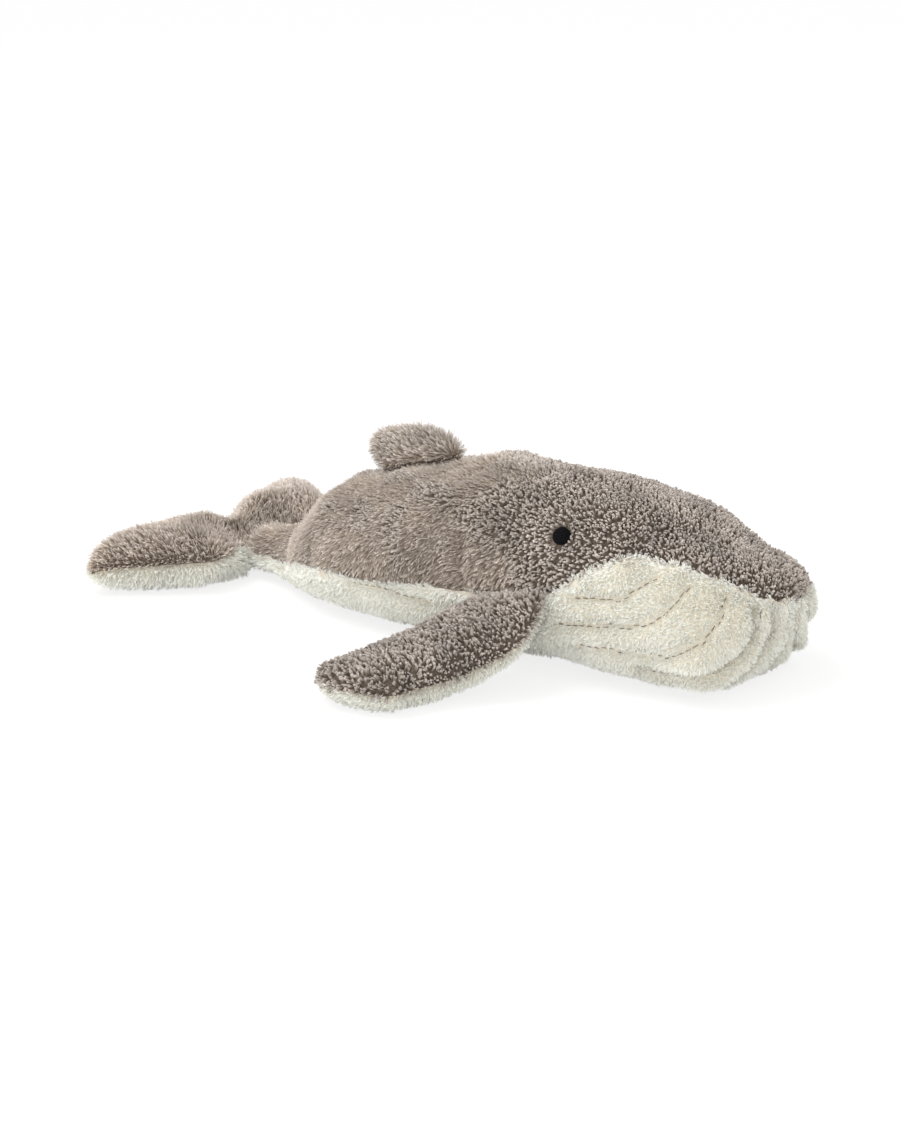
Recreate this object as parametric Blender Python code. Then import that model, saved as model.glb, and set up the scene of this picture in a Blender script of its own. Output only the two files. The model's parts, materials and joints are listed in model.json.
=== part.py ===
# Plush whale: a stuffed toy of grey and cream plush, with two flippers, a tail fluke and a fin on its back.
# Metres, +Z up. The nose points along +X and the whale's left side along +Y. It rests on its belly at z = 0,
# and the origin is at the middle of its length, on the surface that it rests on.
import math

import bmesh
import bpy
from mathutils import Matrix, Vector
from mathutils.bvhtree import BVHTree

# Cloth, thread and clearances
PANEL_THICKNESS = 0.003
SEAM_GAP = 0.0003
STUFFING_CLEARANCE = 0.0005
THREAD_RADIUS = 0.0011
THREAD_CLEARANCE = 0.0003
REST_CUT = 0.0005
CUT_TOLERANCE = 0.000001

# Body, measured from the tail seam to the nose; the shares run from tail to nose
BODY_LENGTH = 0.3565
BODY_HALF_WIDTH = 0.0655
BODY_HEIGHT = 0.097
NOSE_HEIGHT = 0.05
MIDDLE_HEIGHT_SHARE = 0.42
BODY_STATION_SHARES = (0, 0.05, 0.1, 0.2, 0.35, 0.5, 0.65, 0.8, 0.9, 1)
BODY_WIDTH_SHARES = (0.19, 0.24, 0.42, 0.75, 0.94, 0.975, 0.985, 0.99, 0.915, 0.78)
BODY_TOP_SHARES = (0.23, 0.31, 0.48, 0.72, 0.88, 0.99, 0.985, 0.895, 0.755, 0.62)
BODY_BOTTOM_SHARES = (0.085, 0.065, 0.04, 0, 0, 0, 0, 0, 0.005, 0.015)
SEAM_STATION_SHARES = (0, 0.15, 0.3, 0.5, 0.6, 0.69, 0.735, 0.77, 0.81, 0.9, 0.96, 1)
SEAM_HEIGHT_SHARES = (0.42, 0.38, 0.37, 0.39, 0.42, 0.52, 0.67, 0.77, 0.83, 0.86, 0.865, 0.8)
NOSE_ROUND_FROM_SHARE = 0.93
UPPER_ROUNDNESS = 2.2
LOWER_ROUNDNESS = 2.8
NOSE_BLUNTNESS = 0.7

# Flippers; the shares run from the root to the tip
FLIPPER_LENGTH = 0.1
FLIPPER_ROOT_HALF_CHORD = 0.0225
FLIPPER_HALF_THICKNESS = 0.0122
FLIPPER_SWEEP = 0.037
FLIPPER_BOW = 0.0115
FLIPPER_REAR_HEIGHT = 0.036
FLIPPER_FRONT_HEIGHT = 0.046
FLIPPER_PLACE_SHARE = 0.614
FLIPPER_STATION_SHARES = (0, 0.25, 0.5, 0.75, 1)
FLIPPER_CHORD_SHARES = (1, 1.13, 1.21, 1.24, 1.18)
FLIPPER_THICKNESS_SHARES = (0.07, 0.96, 1.06, 0.95, 0.88)
FLIPPER_ROUND_FROM_SHARE = 0.7
FLIPPER_DROP_SHARE = 0.85

# Tail fluke; the shares run from its middle to a tip, and along its reach behind the tail seam
FLUKE_REACH = 0.058
FLUKE_HALF_SPAN = 0.0965
FLUKE_HALF_THICKNESS = 0.0178
FLUKE_TIP_LIFT = 0.003
FLUKE_STATION_SHARES = (0, 0.13, 0.2, 0.27, 0.35, 0.5, 0.65, 0.8, 0.93, 1)
FLUKE_FRONT_SHARES = (0, 0, -0.17, -0.36, -0.5, -0.33, 0, 0.33, 0.57, 0.67)
FLUKE_REAR_SHARES = (0.4, 0.54, 0.65, 0.76, 0.86, 0.91, 0.95, 1, 1, 0.97)
FLUKE_THICKNESS_SHARES = (0.66, 0.74, 0.9, 1.02, 1.06, 1.04, 1, 0.96, 0.9, 0.85)
FLUKE_ROUND_FROM_SHARE = 0.76
FLUKE_WAIST_SHARE = 0.26
FLUKE_SEAM_SHARE = 0.125

# Fin on the back; the places run along the body, the other shares from the root to the tip
FIN_REAR_PLACE_SHARE = 0.245
FIN_FRONT_PLACE_SHARE = 0.4
FIN_LENGTH = 0.035
FIN_HALF_THICKNESS = 0.0068
FIN_SWEEP = 0.025
FIN_LEAN = math.radians(60)
FIN_STATION_SHARES = (0, 0.35, 0.7, 1)
FIN_CHORD_SHARES = (1, 1.08, 0.92, 0.72)
FIN_THICKNESS_SHARES = (0.12, 0.85, 1, 0.85)
FIN_ROUND_FROM_SHARE = 0.5

# Rounded edges of the fins, and how small the last outline of a rounded end is
FIN_EDGE_ROUNDNESS = 2.2
PINCHED_EDGE_ROUNDNESS = 1.5
ROUND_END_SHARE = 0.02

# Eyes, worked in satin stitch
EYE_RADIUS = 0.005
EYE_THICKNESS = 0.0014
EYE_EDGE_RADIUS = 0.0005
EYE_PLACE_SHARE = 0.685
EYE_TURN_SHARE = 0.46

# Rows of stitches, each one unbroken thread laid on the cloth
STITCH_WIDTH = 0.0009
STITCH_HEIGHT = 0.0006
STITCH_CLEARANCE = 0.0005
STITCH_BEND_PITCH = 0.003
CLOSING_HALF_WIDTH = 0.0015
CLOSING_PITCH = 0.0035
CLOSING_FROM_SHARE = 0.3
CLOSING_TO_SHARE = 0.46

# Rows of throat stitches as (share of the body's length, share of a quarter turn up from its side)
THROAT_ROW_SHARES = (
    ((0.852, 0.44), (0.839, 0.37), (0.822, 0.24), (0.797, 0.18), (0.767, 0.14), (0.725, 0.1)),
    ((0.897, 0.48), (0.894, 0.38), (0.88, 0.2), (0.844, 0.06), (0.802, 0.01), (0.756, -0.02), (0.7, -0.06)),
    ((0.953, 0.52), (0.957, 0.36), (0.95, 0.13), (0.918, 0), (0.871, -0.09), (0.826, -0.15), (0.74, -0.19)),
    ((0.985, 0.5), (0.991, 0.2), (0.99, -0.04), (0.98, -0.2), (0.955, -0.25), (0.91, -0.3), (0.84, -0.36)),
    ((0.997, 0.3), (0.9985, -0.1), (0.997, -0.5), (0.99, -0.66), (0.975, -0.66), (0.94, -0.66), (0.89, -0.66)),
)

# Numbers of rings and columns in the faceted surfaces
BODY_RINGS = 16
BODY_NOSE_RINGS = 5
BODY_UPPER_COLUMNS = 7
BODY_LOWER_COLUMNS = 7
LIMB_RINGS = 7
LIMB_TIP_RINGS = 5
LIMB_COLUMNS = 6
FLUKE_RINGS = 11
FLUKE_TIP_RINGS = 4
THREAD_SIDES = 8
EYE_SIDES = 20
ROW_SAMPLES = 60

QUARTER_TURN = math.pi / 2
UP = Vector((0, 0, 1))
LEFT = Vector((0, 1, 0))

cloth_to_axis = THREAD_RADIUS + THREAD_CLEARANCE
overall_length = BODY_LENGTH + FLUKE_REACH
tail_seam_x = FLUKE_REACH - overall_length / 2


# Curves through tables, and rounding

def slope_at(places, values, index):
    steps = [(values[i + 1] - values[i]) / (places[i + 1] - places[i]) for i in range(len(places) - 1)]
    if index in (0, len(steps)):
        return steps[min(index, len(steps) - 1)]
    before, after = steps[index - 1], steps[index]
    return 2 * before * after / (before + after) if before * after > 0 else 0


def curve_value(places, values, place):
    # Smooth curve through the table that rises and falls only where the table does.
    index = max(i for i in range(len(places) - 1) if places[i] <= place or i == 0)
    width = places[index + 1] - places[index]
    along = (place - places[index]) / width
    start, end = values[index], values[index + 1]
    leaving = slope_at(places, values, index) * width
    arriving = slope_at(places, values, index + 1) * width
    bend = 3 * (end - start) - 2 * leaving - arriving
    twist = leaving + arriving - 2 * (end - start)
    return start + along * (leaving + along * (bend + along * twist))


def smooth_step(value):
    held = min(max(value, 0), 1)
    return held * held * (3 - 2 * held)


def rounding(share, round_from):
    # Falls from 1 to nearly 0 as a quarter circle does, from the place where the rounding starts.
    beyond = max(share - round_from, 0) / (1 - round_from)
    return max(math.sqrt(max(1 - beyond * beyond, 0)), ROUND_END_SHARE)


def ring_shares(straight_rings, round_from, round_rings):
    shares = [round_from * i / straight_rings for i in range(straight_rings)]
    turns = [QUARTER_TURN * i / round_rings for i in range(round_rings + 1)]
    return shares + [round_from + (1 - round_from) * math.sin(turn) for turn in turns]


def inside(size, depth):
    # A half size less a wall's depth, which thins towards an edge that is too slim for the whole wall.
    return size * size / (size + depth)


def signed_power(value, power):
    return math.copysign(abs(value) ** power, value)


# Mesh helpers

def face_outwards(mesh):
    bmesh.ops.recalc_face_normals(mesh, faces=mesh.faces)
    if mesh.calc_volume(signed=True) < 0:
        bmesh.ops.reverse_faces(mesh, faces=mesh.faces)


def loft(rings):
    # Joins closed outlines of equal counts into one closed body.
    mesh = bmesh.new()
    loops = []
    for ring in rings:
        verts = [mesh.verts.new(point) for point in ring]
        loops.append([mesh.edges.new(pair) for pair in zip(verts, verts[1:] + verts[:1])])
    for near, far in zip(loops, loops[1:]):
        bmesh.ops.bridge_loops(mesh, edges=near + far)
    for end in (loops[0], loops[-1]):
        bmesh.ops.contextual_create(mesh, geom=end)
    bmesh.ops.triangulate(mesh, faces=mesh.faces, quad_method="SHORT_EDGE", ngon_method="BEAUTY")
    face_outwards(mesh)
    return mesh


def open_seam(arc):
    # Both ends of an arc of cloth stop half a seam gap short.
    first = arc[0] + (arc[1] - arc[0]).normalized() * SEAM_GAP / 2
    last = arc[-1] + (arc[-2] - arc[-1]).normalized() * SEAM_GAP / 2
    return [first] + arc[1:-1] + [last]


def panel_ring(outer, inner):
    return open_seam(outer) + open_seam(inner)[::-1]


def cut_flat(mesh):
    # The lowest part is cut off level with the surface that the toy rests on.
    geometry = mesh.verts[:] + mesh.edges[:] + mesh.faces[:]
    bmesh.ops.bisect_plane(
        mesh, geom=geometry, dist=CUT_TOLERANCE, plane_co=(0, 0, 0), plane_no=UP, clear_inner=True
    )
    rim = [edge for edge in mesh.edges if edge.is_boundary]
    bmesh.ops.holes_fill(mesh, edges=rim)
    face_outwards(mesh)


def thread_between(start, end):
    mesh = bmesh.new()
    along = end - start
    matrix = Matrix.Translation((start + end) / 2) @ along.to_track_quat("Z", "Y").to_matrix().to_4x4()
    bmesh.ops.create_cone(
        mesh, cap_ends=True, segments=THREAD_SIDES, radius1=THREAD_RADIUS, radius2=THREAD_RADIUS,
        depth=along.length, matrix=matrix,
    )
    return mesh


# Materials and objects

def plain_material(name, color, roughness):
    material = bpy.data.materials.new(name)
    material.use_nodes = True
    shader = material.node_tree.nodes["Principled BSDF"]
    shader.inputs["Base Color"].default_value = (*color, 1)
    shader.inputs["Roughness"].default_value = roughness
    shader.inputs["Metallic"].default_value = 0
    return material


def add_pivot(name, place):
    pivot = bpy.data.objects.new(name, None)
    pivot.location = place
    bpy.context.scene.collection.objects.link(pivot)
    return pivot


def add_object(name, mesh, material, pivot=None):
    if pivot:
        bmesh.ops.translate(mesh, vec=-pivot.location, verts=mesh.verts)
    data = bpy.data.meshes.new(name)
    mesh.to_mesh(data)
    mesh.free()
    data.shade_smooth()
    data.set_sharp_from_angle(angle=math.radians(50))
    data.materials.append(material)
    piece = bpy.data.objects.new(name, data)
    piece.parent = pivot
    bpy.context.scene.collection.objects.link(piece)
    return piece


# Body

def body_heights(share):
    # Bottom, middle and top of the body at a share of its length.
    draw_in = rounding(share, NOSE_ROUND_FROM_SHARE) ** NOSE_BLUNTNESS
    top = BODY_HEIGHT * curve_value(BODY_STATION_SHARES, BODY_TOP_SHARES, share)
    bottom = BODY_HEIGHT * curve_value(BODY_STATION_SHARES, BODY_BOTTOM_SHARES, share) - REST_CUT
    top = NOSE_HEIGHT + (top - NOSE_HEIGHT) * draw_in
    bottom = NOSE_HEIGHT + (bottom - NOSE_HEIGHT) * draw_in
    return bottom, bottom + MIDDLE_HEIGHT_SHARE * (top - bottom), top


def body_point(share, turn, depth=0, side=1):
    # A point of the body's surface, or a depth inside it; turn is an angle up from the body's side.
    x = tail_seam_x + cloth_to_axis + depth + share * (BODY_LENGTH - cloth_to_axis - 2 * depth)
    bottom, middle, top = body_heights(share)
    half_width = BODY_HALF_WIDTH * curve_value(BODY_STATION_SHARES, BODY_WIDTH_SHARES, share)
    half_width = inside(half_width * rounding(share, NOSE_ROUND_FROM_SHARE), depth)
    power = 2 / (UPPER_ROUNDNESS if turn > 0 else LOWER_ROUNDNESS)
    reach = inside(top - middle if turn > 0 else middle - bottom, depth)
    return Vector((
        x,
        side * half_width * signed_power(math.cos(turn), power),
        middle + reach * signed_power(math.sin(turn), power),
    ))


def seam_turn(share):
    # Angle up from the body's side at which the grey cloth meets the cream.
    height = curve_value(SEAM_STATION_SHARES, SEAM_HEIGHT_SHARES, share) - MIDDLE_HEIGHT_SHARE
    upper = height > 0
    portion = height / (1 - MIDDLE_HEIGHT_SHARE) if upper else height / MIDDLE_HEIGHT_SHARE
    return math.asin(signed_power(portion, (UPPER_ROUNDNESS if upper else LOWER_ROUNDNESS) / 2))


def body_arc(share, start, end, columns, depth, side):
    turns = [start + (end - start) * i / columns for i in range(columns + 1)]
    return [body_point(share, turn, depth, side) for turn in turns]


def back_arc(share, depth, side):
    return body_arc(share, QUARTER_TURN, seam_turn(share), BODY_UPPER_COLUMNS, depth, side)


def belly_arc(share, depth):
    down = body_arc(share, seam_turn(share), -QUARTER_TURN, BODY_LOWER_COLUMNS, depth, 1)
    up = body_arc(share, -QUARTER_TURN, seam_turn(share), BODY_LOWER_COLUMNS, depth, -1)
    return down + up[1:]


def stuffing_ring(share, depth):
    left, right = back_arc(share, depth, 1), back_arc(share, depth, -1)
    return left + belly_arc(share, depth)[1:-1] + right[:0:-1]


def make_body(grey, cream, filling):
    shares = ring_shares(BODY_RINGS, NOSE_ROUND_FROM_SHARE, BODY_NOSE_RINGS)
    backs = {}
    for name, side in (("left", 1), ("right", -1)):
        rings = [panel_ring(back_arc(s, 0, side), back_arc(s, PANEL_THICKNESS, side)) for s in shares]
        mesh = loft(rings)
        backs[name] = BVHTree.FromBMesh(mesh)
        add_object(f"back_{name}_panel", mesh, grey)
    mesh = loft([panel_ring(belly_arc(s, 0), belly_arc(s, PANEL_THICKNESS)) for s in shares])
    cut_flat(mesh)
    belly = BVHTree.FromBMesh(mesh)
    add_object("belly_panel", mesh, cream)
    depth = PANEL_THICKNESS + STUFFING_CLEARANCE
    add_object("body_stuffing", loft([stuffing_ring(s, depth) for s in shares[1:-1]]), filling)
    return backs, belly


def make_eyes(backs, thread):
    for name, side in (("left", 1), ("right", -1)):
        aim = body_point(EYE_PLACE_SHARE, EYE_TURN_SHARE * QUARTER_TURN, 0, side)
        place, outward, _, _ = backs[name].find_nearest(aim)
        mesh = bmesh.new()
        centre = place + outward * (THREAD_CLEARANCE + EYE_THICKNESS / 2)
        turned = outward.to_track_quat("Z", "Y").to_matrix().to_4x4()
        bmesh.ops.create_cone(
            mesh, cap_ends=True, segments=EYE_SIDES, radius1=EYE_RADIUS, radius2=EYE_RADIUS,
            depth=EYE_THICKNESS, matrix=Matrix.Translation(centre) @ turned,
        )
        mesh.normal_update()
        face = max(mesh.faces, key=lambda f: f.normal.dot(outward))
        bmesh.ops.bevel(
            mesh, geom=face.edges[:], offset=EYE_EDGE_RADIUS, segments=2, profile=0.5, affect="EDGES"
        )
        add_object(f"{name}_eye", mesh, thread)


def evenly_spaced(line, pitch):
    # Points about a pitch apart along a line, with both of its ends.
    lengths = [(end - start).length for start, end in zip(line, line[1:])]
    total = sum(lengths)
    count = max(round(total / pitch), 2)
    points = []
    index, passed = 0, 0
    for i in range(count + 1):
        wanted = total * i / count
        while index < len(lengths) - 1 and passed + lengths[index] < wanted:
            passed += lengths[index]
            index += 1
        points.append(line[index].lerp(line[index + 1], (wanted - passed) / lengths[index]))
    return points


def nearest_on(surfaces, point):
    hits = [surface.find_nearest(point) for surface in surfaces]
    place, outward, _, _ = min(hits, key=lambda hit: hit[3])
    return place, outward


def laid_thread(surfaces, line):
    # A flat thread through the points of a line, a clearance above the cloth all the way.
    seats = [nearest_on(surfaces, point) for point in line]
    rings = []
    for i, (place, _) in enumerate(seats):
        near = seats[max(i - 1, 0):i + 2]
        upward = sum((outward for _, outward in near), Vector()).normalized()
        along = (near[-1][0] - near[0][0]).normalized()
        across = upward.cross(along).normalized() * STITCH_WIDTH / 2
        low = place + upward * STITCH_CLEARANCE
        high = low + upward * STITCH_HEIGHT
        rings.append([low - across, low + across, high + across, high - across])
    return loft(rings)


def row_point(row, along, side):
    # A point of the body's surface at a share of the way along a row of stitches.
    stations = [i / (len(row) - 1) for i in range(len(row))]
    place = curve_value(stations, [share for share, _ in row], along)
    turn = curve_value(stations, [turn for _, turn in row], along)
    return body_point(place, turn * QUARTER_TURN, 0, side)


def make_throat_stitches(belly, thread):
    for number, row in enumerate(THROAT_ROW_SHARES, 1):
        for name, side in (("left", 1), ("right", -1)):
            line = [row_point(row, i / ROW_SAMPLES, side) for i in range(ROW_SAMPLES + 1)]
            mesh = laid_thread([belly], evenly_spaced(line, STITCH_BEND_PITCH))
            add_object(f"throat_stitches_{number}_{name}", mesh, thread)


def make_closing_stitches(back, belly, thread):
    # Hand stitches that cross the seam on the left flank to and fro.
    length = (CLOSING_TO_SHARE - CLOSING_FROM_SHARE) * BODY_LENGTH
    count = round(length / CLOSING_PITCH)
    line = []
    for i in range(count + 1):
        share = CLOSING_FROM_SHARE + (CLOSING_TO_SHARE - CLOSING_FROM_SHARE) * i / count
        side_turn = (CLOSING_HALF_WIDTH / BODY_HALF_WIDTH) * (1 if i % 2 else -1)
        line.append(body_point(share, seam_turn(share) + side_turn))
    add_object("closing_stitches", laid_thread([back, belly], line), thread)


# Limbs: each is a stuffed pocket of two panels, pinched at the seam that it turns about

def limb_arc(point, share, start, depth):
    turns = [start + math.pi * i / LIMB_COLUMNS for i in range(LIMB_COLUMNS + 1)]
    return [point(share, turn, depth) for turn in turns]


def make_limb(point, shares, names, materials, pivot, rests):
    # point(share, turn, depth) gives the pocket's surface; its two panels cover half a turn each.
    for name, material, start in ((names[0], materials[0], 0), (names[1], materials[1], math.pi)):
        rings = [
            panel_ring(limb_arc(point, s, start, 0), limb_arc(point, s, start, PANEL_THICKNESS))
            for s in shares
        ]
        mesh = loft(rings)
        if rests and start:
            cut_flat(mesh)
        add_object(name, mesh, material, pivot)
    depth = PANEL_THICKNESS + STUFFING_CLEARANCE
    rings = [limb_arc(point, s, 0, depth)[:-1] + limb_arc(point, s, math.pi, depth)[:-1] for s in shares[1:-1]]
    add_object(names[2], loft(rings), materials[2], pivot)


def make_flipper(name, side, grey, cream, filling, thread):
    # The seam runs straight along the flank, just clear of the swell of the body.
    def flank(along_share):
        height = FLIPPER_REAR_HEIGHT + (FLIPPER_FRONT_HEIGHT - FLIPPER_REAR_HEIGHT) * along_share
        share = FLIPPER_PLACE_SHARE + (along_share * 2 - 1) * FLIPPER_ROOT_HALF_CHORD / BODY_LENGTH
        bottom, middle, top = body_heights(share)
        upper = height > middle
        portion = (height - middle) / (top - middle) if upper else (height - middle) / (middle - bottom)
        turn = math.asin(signed_power(portion, (UPPER_ROUNDNESS if upper else LOWER_ROUNDNESS) / 2))
        return body_point(share, turn, 0, side)

    rear, front = flank(0), flank(1)
    along = (front - rear).normalized()
    outward = side * UP.cross(along).normalized()
    upward = side * along.cross(outward)
    swell = max((flank(share) - rear).dot(outward) for share in (0, 0.25, 0.5, 0.75, 1))
    hinge = (rear + front) / 2 + outward * (swell + cloth_to_axis)
    level = side * outward.cross(UP)

    def point(share, turn, depth):
        chord = FLIPPER_ROOT_HALF_CHORD * curve_value(FLIPPER_STATION_SHARES, FLIPPER_CHORD_SHARES, share)
        chord = inside(chord * rounding(share, FLIPPER_ROUND_FROM_SHARE), depth)
        full = FLIPPER_HALF_THICKNESS * curve_value(FLIPPER_STATION_SHARES, FLIPPER_THICKNESS_SHARES, share)
        full *= rounding(share, FLIPPER_ROUND_FROM_SHARE)
        reach = cloth_to_axis + depth + share * (FLIPPER_LENGTH - cloth_to_axis - 2 * depth)
        outward_share = reach / FLIPPER_LENGTH
        drop = 1 - max(1 - outward_share / FLIPPER_DROP_SHARE, 0) ** 2
        resting = FLIPPER_HALF_THICKNESS * FLIPPER_THICKNESS_SHARES[3] - REST_CUT
        forward = FLIPPER_BOW * math.sin(math.pi * outward_share) - FLIPPER_SWEEP * outward_share
        middle = hinge + outward * reach + level * forward + UP * (resting - hinge.z) * drop
        across = along.lerp(level, drop)
        power = 2 / FIN_EDGE_ROUNDNESS
        offset = across * chord * signed_power(math.cos(turn), power)
        return middle + offset + UP * inside(full, depth) * signed_power(math.sin(turn), power)

    pivot = add_pivot(f"{name}_flipper_pivot", hinge)
    shares = ring_shares(LIMB_RINGS, FLIPPER_ROUND_FROM_SHARE, LIMB_TIP_RINGS)
    parts = [f"{name}_flipper_{part}" for part in ("top_panel", "bottom_panel", "stuffing")]
    make_limb(point, shares, parts, (grey, cream, filling), pivot, True)
    half_thread = along * FLIPPER_ROOT_HALF_CHORD
    add_object(f"{name}_flipper_seam_thread", thread_between(hinge - half_thread, hinge + half_thread), thread)
    print(f"{name} flipper hinge", [round(v, 5) for v in hinge], "axis", [round(v, 5) for v in along])


def make_fluke(grey, cream, filling, thread):
    _, seam_height, _ = body_heights(0)
    hinge = Vector((tail_seam_x, 0, seam_height))

    def point(place, turn, depth):
        share = abs(place)
        front = tail_seam_x - cloth_to_axis - FLUKE_REACH * curve_value(
            FLUKE_STATION_SHARES, FLUKE_FRONT_SHARES, share)
        rear = tail_seam_x - FLUKE_REACH * curve_value(FLUKE_STATION_SHARES, FLUKE_REAR_SHARES, share)
        tip = rounding(share, FLUKE_ROUND_FROM_SHARE)
        full = FLUKE_HALF_THICKNESS * curve_value(FLUKE_STATION_SHARES, FLUKE_THICKNESS_SHARES, share)
        spread = smooth_step(share / FLUKE_WAIST_SHARE)
        resting = full - REST_CUT + FLUKE_TIP_LIFT * share * share
        height = seam_height + (resting - seam_height) * spread
        roundness = PINCHED_EDGE_ROUNDNESS + (FIN_EDGE_ROUNDNESS - PINCHED_EDGE_ROUNDNESS) * spread
        chord = inside((front - rear) / 2 * tip, depth)
        return Vector((
            (front + rear) / 2 + chord * signed_power(math.cos(turn), 2 / roundness),
            place * (FLUKE_HALF_SPAN - depth),
            height + inside(full * tip, depth) * signed_power(math.sin(turn), 2 / roundness),
        ))

    pivot = add_pivot("fluke_pivot", hinge)
    half = ring_shares(FLUKE_RINGS, FLUKE_ROUND_FROM_SHARE, FLUKE_TIP_RINGS)
    places = [-share for share in half[:0:-1]] + half
    parts = ["fluke_top_panel", "fluke_bottom_panel", "fluke_stuffing"]
    make_limb(point, places, parts, (grey, cream, filling), pivot, True)
    half_thread = LEFT * FLUKE_HALF_SPAN * FLUKE_SEAM_SHARE
    add_object("fluke_seam_thread", thread_between(hinge - half_thread, hinge + half_thread), thread)
    print("fluke hinge", [round(v, 5) for v in hinge])


def make_back_fin(grey, filling, thread):
    # The seam follows the ridge of the back in a straight line, and the fin leans over to the whale's left.
    rear = body_point(FIN_REAR_PLACE_SHARE, QUARTER_TURN)
    front = body_point(FIN_FRONT_PLACE_SHARE, QUARTER_TURN)
    along = (front - rear).normalized()
    upward = along.cross(LEFT)
    span = FIN_FRONT_PLACE_SHARE - FIN_REAR_PLACE_SHARE
    places = [FIN_REAR_PLACE_SHARE + span * i for i in (0.25, 0.5, 0.75)]
    swell = max((body_point(place, QUARTER_TURN) - rear).dot(upward) for place in places)
    hinge = (rear + front) / 2 + upward * (max(swell, 0) + cloth_to_axis)
    outward = upward * math.cos(FIN_LEAN) + LEFT * math.sin(FIN_LEAN)
    sideways = along.cross(outward)
    root = (front - rear).length / 2

    def point(share, turn, depth):
        tip = rounding(share, FIN_ROUND_FROM_SHARE)
        chord = inside(root * tip * curve_value(FIN_STATION_SHARES, FIN_CHORD_SHARES, share), depth)
        full = FIN_HALF_THICKNESS * tip * curve_value(FIN_STATION_SHARES, FIN_THICKNESS_SHARES, share)
        reach = cloth_to_axis + depth + share * (FIN_LENGTH - cloth_to_axis - 2 * depth)
        power = 2 / FIN_EDGE_ROUNDNESS
        middle = hinge + outward * reach - along * FIN_SWEEP * share
        offset = along * chord * signed_power(math.cos(turn), power)
        return middle + offset + sideways * inside(full, depth) * signed_power(math.sin(turn), power)

    pivot = add_pivot("dorsal_fin_pivot", hinge)
    shares = ring_shares(LIMB_RINGS - 3, FIN_ROUND_FROM_SHARE, LIMB_TIP_RINGS)
    parts = ["dorsal_fin_right_panel", "dorsal_fin_left_panel", "dorsal_fin_stuffing"]
    make_limb(point, shares, parts, (grey, grey, filling), pivot, False)
    half_thread = along * root
    add_object("dorsal_fin_seam_thread", thread_between(hinge - half_thread, hinge + half_thread), thread)
    print("dorsal fin hinge", [round(v, 5) for v in hinge], "axis", [round(v, 5) for v in along])


def make_whale():
    for piece in list(bpy.data.objects):
        bpy.data.objects.remove(piece)
    grey = plain_material("grey_plush", (0.33, 0.28, 0.25), 0.95)
    cream = plain_material("cream_plush", (0.80, 0.78, 0.70), 0.95)
    filling = plain_material("fibre_filling", (0.88, 0.88, 0.86), 1.0)
    black = plain_material("black_thread", (0.012, 0.012, 0.013), 0.55)
    brown = plain_material("brown_thread", (0.22, 0.17, 0.12), 0.7)
    backs, belly = make_body(grey, cream, filling)
    make_eyes(backs, black)
    make_throat_stitches(belly, brown)
    make_closing_stitches(backs["left"], belly, brown)
    for name, side in (("left", 1), ("right", -1)):
        make_flipper(name, side, grey, cream, filling, brown)
    make_fluke(grey, cream, filling, brown)
    make_back_fin(grey, filling, brown)


make_whale()
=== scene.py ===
import json
import math

import bmesh
import bpy
import numpy as np
from mathutils import Matrix, Vector
from mathutils.bvhtree import BVHTree
from mathutils.kdtree import KDTree


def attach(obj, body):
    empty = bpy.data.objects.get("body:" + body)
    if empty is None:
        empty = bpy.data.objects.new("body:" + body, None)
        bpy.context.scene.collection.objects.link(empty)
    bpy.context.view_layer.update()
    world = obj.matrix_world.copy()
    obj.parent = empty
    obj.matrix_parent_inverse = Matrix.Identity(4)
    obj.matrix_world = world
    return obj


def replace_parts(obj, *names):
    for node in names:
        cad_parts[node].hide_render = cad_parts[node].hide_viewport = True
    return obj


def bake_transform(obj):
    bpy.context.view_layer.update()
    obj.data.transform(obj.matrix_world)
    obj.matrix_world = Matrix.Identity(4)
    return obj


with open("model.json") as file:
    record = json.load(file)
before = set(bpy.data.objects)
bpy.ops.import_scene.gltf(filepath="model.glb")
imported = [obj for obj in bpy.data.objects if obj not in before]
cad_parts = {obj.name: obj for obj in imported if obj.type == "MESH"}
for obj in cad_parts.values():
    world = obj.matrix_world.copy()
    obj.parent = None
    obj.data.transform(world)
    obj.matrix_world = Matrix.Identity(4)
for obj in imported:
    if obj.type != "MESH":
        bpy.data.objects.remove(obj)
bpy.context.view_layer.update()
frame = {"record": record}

quarterTurn = math.pi / 2
up = np.array((0, 0, 1.0))
left = np.array((0, 1.0, 0))
bothSides = (("left", 1), ("right", -1))
chance = np.random.default_rng(11)

# Each moving part's hinge, with its axis turned to run forwards
hinges = {}
for joint in frame["record"]["behaviour"]["joints"]:
    axis = np.array(joint["axis"])
    hinges[joint["child"]] = np.array(joint["pos_m"]), axis if axis[0] >= 0 else -axis


# Camera, light and floor

camera = dict(azimuth=36, elevation=17.2, distance=1.7, lens=96.8, target=(-0.01205, 0, 0.0288))
light = dict(world=0.85, floorGlow=0.81, floorSeen=0.21, floorLit=0.88)
lamps = (
    # name, azimuth, elevation, distance, width, power
    ("overhead", -50, 66, 1.5, 0.9, 13.0),
    ("front", 28, 11, 1.9, 1.1, 9.5),
)


def awayFrom(azimuth, elevation):
    # Direction from the whale to the viewer; azimuth 0 is on the whale's right
    turn, rise = math.radians(azimuth), math.radians(elevation)
    return Vector((math.sin(turn) * math.cos(rise), -math.cos(turn) * math.cos(rise), math.sin(rise)))


def aimed(place, back):
    across = Vector((0, 0, 1)).cross(back).normalized()
    return Matrix.Translation(place) @ Matrix((across, back.cross(across), back)).transposed().to_4x4()


def link(name, data):
    piece = bpy.data.objects.new(name, data)
    bpy.context.scene.collection.objects.link(piece)
    return piece


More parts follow.
